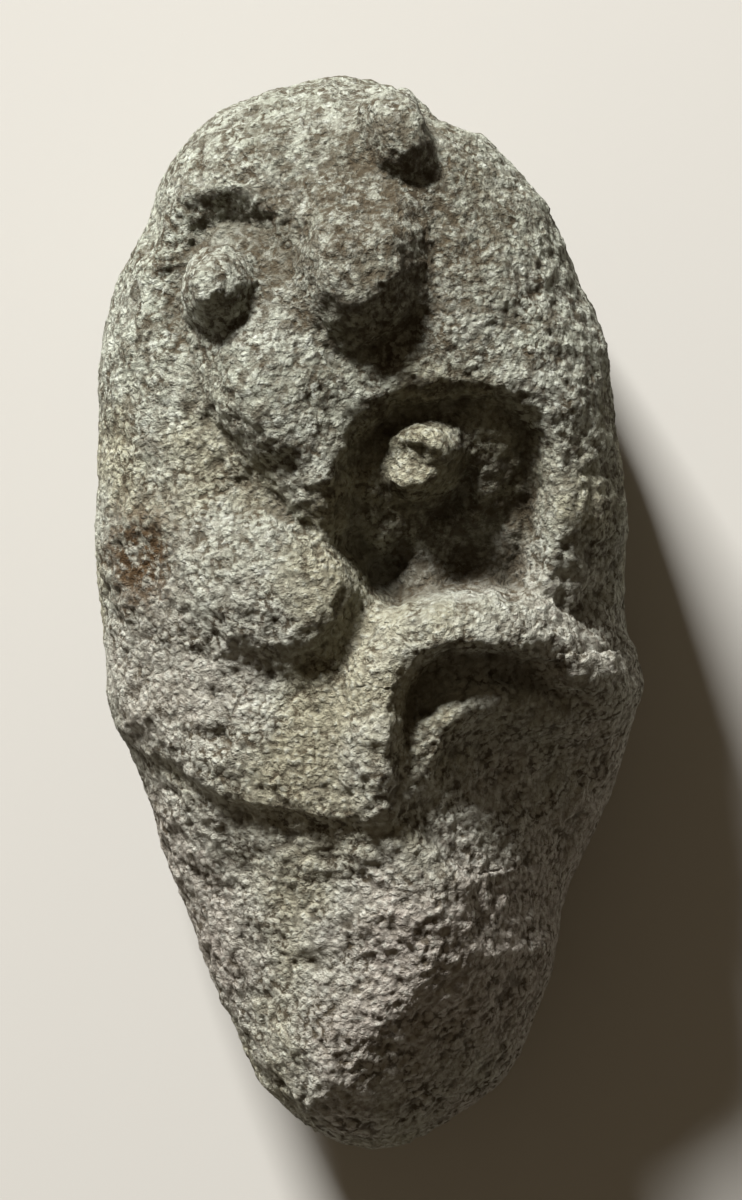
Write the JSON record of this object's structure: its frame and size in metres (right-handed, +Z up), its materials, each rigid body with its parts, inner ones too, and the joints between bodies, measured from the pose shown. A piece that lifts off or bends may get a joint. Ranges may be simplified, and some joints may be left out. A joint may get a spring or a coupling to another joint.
{
  "type": "pecked boulder figure",
  "caption": "Egg-shaped boulder pecked into a squat figure with knob eyes, a blunt nose, a round mouth and folded arms, lying on its back.",
  "frame": {"origin": "middle of the stone's box, on the surface it lies on", "axes": "+X across the stone to the right as its face is looked at, +Y towards the head, +Z up from its back to its face"},
  "size_m": [0.2274, 0.4506, 0.1831],
  "materials": {
    "stone": "pecked grey-beige stone, dull and rough"
  },
  "bodies": {
    "root": {"stone_figure": "stone"}
  },
  "joints": []
}
